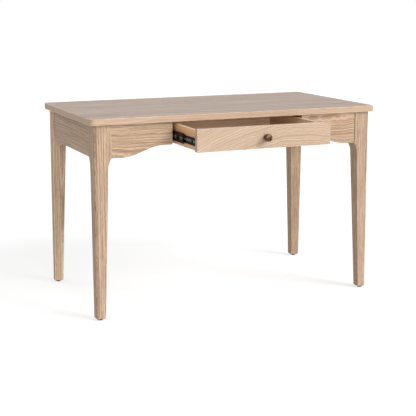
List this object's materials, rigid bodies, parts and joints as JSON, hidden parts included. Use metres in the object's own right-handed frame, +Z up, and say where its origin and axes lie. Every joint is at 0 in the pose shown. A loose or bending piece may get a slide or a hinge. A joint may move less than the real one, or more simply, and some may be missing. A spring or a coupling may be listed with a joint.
{
  "type": "writing desk",
  "caption": "Writing desk in limed oak with tapered legs, shaped front panels and a shallow drawer on full-extension ball-bearing slides.",
  "frame": {"origin": "on the floor, under the middle of the bounding box, with the drawer standing partly open as stored", "axes": "+Z up, -Y towards the person who sits at the desk, +X to that person's right as they face the desk"},
  "size_m": [1.2, 0.896, 0.76],
  "materials": {
    "oak_top": "limed oak veneer, matt lacquer",
    "oak_leg": "limed solid oak, matt lacquer",
    "oak_apron": "limed solid oak, brushed, matt lacquer",
    "oak_front": "limed solid oak, matt lacquer",
    "drawer_wood": "clear lacquer",
    "hidden_wood": "sawn and sanded, unfinished",
    "plywood": "clear lacquer",
    "black_steel": "black passivated",
    "zinc_steel": "zinc plated",
    "aged_brass": "antique, satin",
    "black_plastic": "moulded"
  },
  "bodies": {
    "desk_frame": {"desktop": "oak_top", "leg_front_left": "oak_leg", "glide_front_left": "black_plastic", "corner_block_front_left": "hidden_wood", "hanger_bolt_front_left": "zinc_steel", "hanger_nut_front_left": "zinc_steel", "top_screw_front_left": "zinc_steel", "leg_front_right": "oak_leg", "glide_front_right": "black_plastic", "corner_block_front_right": "hidden_wood", "hanger_bolt_front_right": "zinc_steel", "hanger_nut_front_right": "zinc_steel", "top_screw_front_right": "zinc_steel", "leg_back_left": "oak_leg", "glide_back_left": "black_plastic", "corner_block_back_left": "hidden_wood", "hanger_bolt_back_left": "zinc_steel", "hanger_nut_back_left": "zinc_steel", "top_screw_back_left": "zinc_steel", "leg_back_right": "oak_leg", "glide_back_right": "black_plastic", "corner_block_back_right": "hidden_wood", "hanger_bolt_back_right": "zinc_steel", "hanger_nut_back_right": "zinc_steel", "top_screw_back_right": "zinc_steel", "front_panel_left": "oak_apron", "side_apron_left": "oak_apron", "runner_board_left": "hidden_wood", "slide_cabinet_member_left": "black_steel", "cabinet_screw_front_left": "black_steel", "cabinet_screw_back_left": "black_steel", "front_panel_right": "oak_apron", "side_apron_right": "oak_apron", "runner_board_right": "hidden_wood", "slide_cabinet_member_right": "black_steel", "cabinet_screw_front_right": "black_steel", "cabinet_screw_back_right": "black_steel", "rear_apron": "oak_apron"},
    "drawer": {"drawer_front": "oak_front", "drawer_side_left": "drawer_wood", "drawer_side_right": "drawer_wood", "drawer_back": "drawer_wood", "drawer_bottom": "plywood", "knob": "aged_brass", "knob_screw": "zinc_steel", "slide_drawer_member_left": "black_steel", "slide_drawer_member_right": "black_steel", "drawer_screw_front_left": "black_steel", "drawer_screw_back_left": "black_steel", "drawer_screw_front_right": "black_steel", "drawer_screw_back_right": "black_steel"},
    "middle_member_left": {"slide_middle_member_left": "black_steel"},
    "middle_member_right": {"slide_middle_member_right": "black_steel"},
    "outer_cage_left": {"outer_ball_cage_left": "zinc_steel"},
    "outer_cage_right": {"outer_ball_cage_right": "zinc_steel"},
    "inner_cage_left": {"inner_ball_cage_left": "zinc_steel"},
    "inner_cage_right": {"inner_ball_cage_right": "zinc_steel"},
    "lever_left": {"release_lever_left": "black_plastic"},
    "lever_right": {"release_lever_right": "black_plastic"}
  },
  "joints": [
    {"name": "drawer_slide", "type": "slide", "parent": "desk_frame", "child": "drawer", "axis": [0, -1, 0], "range_m": [-0.23, 0.21]},
    {"name": "middle_member_slide_left", "type": "slide", "parent": "desk_frame", "child": "middle_member_left", "axis": [0, -1, 0], "range_m": [-0.115, 0.105]},
    {"name": "outer_cage_slide_left", "type": "slide", "parent": "desk_frame", "child": "outer_cage_left", "axis": [0, -1, 0], "range_m": [-0.0575, 0.0525]},
    {"name": "inner_cage_slide_left", "type": "slide", "parent": "desk_frame", "child": "inner_cage_left", "axis": [0, -1, 0], "range_m": [-0.1725, 0.1575]},
    {"name": "middle_member_slide_right", "type": "slide", "parent": "desk_frame", "child": "middle_member_right", "axis": [0, -1, 0], "range_m": [-0.115, 0.105]},
    {"name": "outer_cage_slide_right", "type": "slide", "parent": "desk_frame", "child": "outer_cage_right", "axis": [0, -1, 0], "range_m": [-0.0575, 0.0525]},
    {"name": "inner_cage_slide_right", "type": "slide", "parent": "desk_frame", "child": "inner_cage_right", "axis": [0, -1, 0], "range_m": [-0.1725, 0.1575]},
    {"name": "release_lever_pivot_left", "type": "hinge", "parent": "drawer", "child": "lever_left", "pos_m": [-0.2647, -0.089, 0.682], "axis": [1, 0, 0], "range_deg": [-6, 6], "stiffness_Nm_per_rad": 0.05},
    {"name": "release_lever_pivot_right", "type": "hinge", "parent": "drawer", "child": "lever_right", "pos_m": [0.2647, -0.089, 0.682], "axis": [1, 0, 0], "range_deg": [-6, 6], "stiffness_Nm_per_rad": 0.05}
  ],
  "couplings": [
    {"joint": "middle_member_slide_left", "follows": "drawer_slide", "ratio": 0.5},
    {"joint": "outer_cage_slide_left", "follows": "drawer_slide", "ratio": 0.25},
    {"joint": "inner_cage_slide_left", "follows": "drawer_slide", "ratio": 0.75},
    {"joint": "middle_member_slide_right", "follows": "drawer_slide", "ratio": 0.5},
    {"joint": "outer_cage_slide_right", "follows": "drawer_slide", "ratio": 0.25},
    {"joint": "inner_cage_slide_right", "follows": "drawer_slide", "ratio": 0.75}
  ]
}
